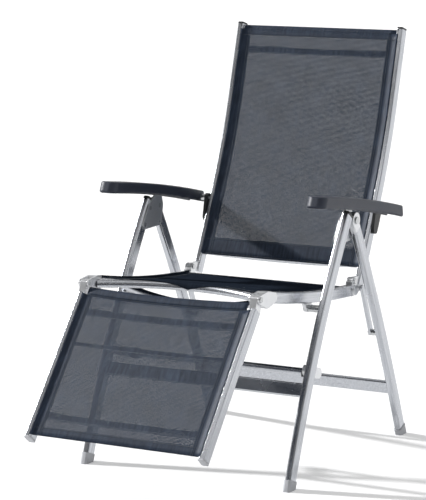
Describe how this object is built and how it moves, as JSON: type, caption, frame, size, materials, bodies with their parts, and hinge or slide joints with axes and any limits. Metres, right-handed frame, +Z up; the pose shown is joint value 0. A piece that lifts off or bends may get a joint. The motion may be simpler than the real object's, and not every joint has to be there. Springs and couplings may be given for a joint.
{
  "type": "reclining garden armchair",
  "caption": "Folding garden armchair with a reclining mesh sling back, armrests with racks and a mesh leg rest hinged to the seat front.",
  "frame": {"origin": "centre of the chair's outline on the floor", "axes": "+Z up, the chair faces -Y, +X to the right when the chair is seen from the front"},
  "size_m": [0.623, 1.0893, 1.0498],
  "materials": {
    "anodised_aluminium": "satin silver anodised tube",
    "cast_aluminium": "tumbled casting, silver lacquer",
    "steel": "dark zinc",
    "sling_fabric": "open PVC-coated mesh weave, blue-black",
    "armrest_plastic": "fine-grained anthracite moulding",
    "black_plastic": "smooth black moulding",
    "grey_plastic": "smooth grey moulding"
  },
  "bodies": {
    "front_frame": {"armrest_rest_pins": "steel", "frame_bolts": "steel", "front_crossbar": "anodised_aluminium", "front_foot_cap_left": "grey_plastic", "front_foot_cap_right": "grey_plastic", "front_leg_left": "anodised_aluminium", "front_leg_plugs": "black_plastic", "front_leg_right": "anodised_aluminium", "hub_pivot_pins": "steel", "hub_plate_left": "cast_aluminium", "hub_plate_right": "cast_aluminium", "seat_pivot_pins": "steel", "stay_clamps": "black_plastic", "stay_lugs": "cast_aluminium", "stay_tube": "anodised_aluminium"},
    "rear_frame": {"link_pins": "steel", "rear_crossbar": "anodised_aluminium", "rear_foot_cap_left": "grey_plastic", "rear_foot_cap_right": "grey_plastic", "rear_leg_knuckles": "cast_aluminium", "rear_leg_left": "anodised_aluminium", "rear_leg_right": "anodised_aluminium"},
    "fold_links": {"fold_link_left": "cast_aluminium", "fold_link_right": "cast_aluminium"},
    "seat_frame": {"back_hinge_fork_left": "cast_aluminium", "back_hinge_fork_right": "cast_aluminium", "footrest_hinge_pins": "steel", "front_hinge_casting_left": "cast_aluminium", "front_hinge_casting_right": "cast_aluminium", "seat_front_tube": "anodised_aluminium", "seat_middle_tube": "anodised_aluminium", "seat_pivot_brackets": "cast_aluminium", "seat_rail_left": "anodised_aluminium", "seat_rail_right": "anodised_aluminium", "seat_rear_tube": "anodised_aluminium", "seat_sling": "sling_fabric"},
    "back_hinge": {"back_hinge_pins": "steel"},
    "back_frame": {"armrest_brackets": "black_plastic", "back_hinge_tongues": "cast_aluminium", "back_lower_tube": "anodised_aluminium", "back_rail_caps": "black_plastic", "back_rail_left": "anodised_aluminium", "back_rail_right": "anodised_aluminium", "back_sling": "sling_fabric", "back_top_tube": "anodised_aluminium", "back_upper_tube": "anodised_aluminium"},
    "armrest_hinge": {"armrest_pins": "steel"},
    "armrests": {"armrest_left": "armrest_plastic", "armrest_rack_left": "black_plastic", "armrest_rack_right": "black_plastic", "armrest_right": "armrest_plastic"},
    "footrest_frame": {"footrest_end_caps": "grey_plastic", "footrest_lower_tube": "anodised_aluminium", "footrest_lugs": "cast_aluminium", "footrest_rail_left": "anodised_aluminium", "footrest_rail_right": "anodised_aluminium", "footrest_rod": "anodised_aluminium", "footrest_sling": "sling_fabric", "footrest_upper_tube": "anodised_aluminium"}
  },
  "joints": [
    {"name": "fold", "type": "hinge", "parent": "front_frame", "child": "rear_frame", "pos_m": [0, 0.144, 0.601], "axis": [-1, 0, 0], "range_deg": [0, 48]},
    {"name": "seat_tilt", "type": "hinge", "parent": "front_frame", "child": "seat_frame", "pos_m": [0, -0.018, 0.405], "axis": [-1, 0, 0], "range_deg": [0, 66.9]},
    {"name": "link_swing", "type": "hinge", "parent": "rear_frame", "child": "fold_links", "pos_m": [0, 0.313, 0.29], "axis": [-1, 0, 0], "range_deg": [0, 124.1]},
    {"name": "back_close", "type": "hinge", "parent": "seat_frame", "child": "back_hinge", "pos_m": [0, 0.241, 0.431], "axis": [1, 0, 0], "range_deg": [0, 108.9]},
    {"name": "recline", "type": "hinge", "parent": "back_hinge", "child": "back_frame", "pos_m": [0, 0.241, 0.431], "axis": [-1, 0, 0], "range_deg": [0, 28]},
    {"name": "armrest_close", "type": "hinge", "parent": "back_frame", "child": "armrest_hinge", "pos_m": [0, 0.357, 0.597], "axis": [-1, 0, 0], "range_deg": [0, 140.7]},
    {"name": "armrest_tilt", "type": "hinge", "parent": "armrest_hinge", "child": "armrests", "pos_m": [0, 0.357, 0.597], "axis": [1, 0, 0], "range_deg": [-0.2, 16.72]},
    {"name": "leg_rest", "type": "hinge", "parent": "seat_frame", "child": "footrest_frame", "pos_m": [0, -0.279, 0.467], "axis": [-1, 0, 0], "range_deg": [-30, 60]}
  ],
  "couplings": [
    {"joint": "seat_tilt", "follows": "fold", "ratio": 1.3896},
    {"joint": "link_swing", "follows": "fold", "ratio": 2.5812},
    {"joint": "back_close", "follows": "fold", "ratio": 2.2646},
    {"joint": "armrest_close", "follows": "fold", "ratio": 2.9271},
    {"joint": "armrest_tilt", "follows": "recline", "ratio": 0.59}
  ]
}
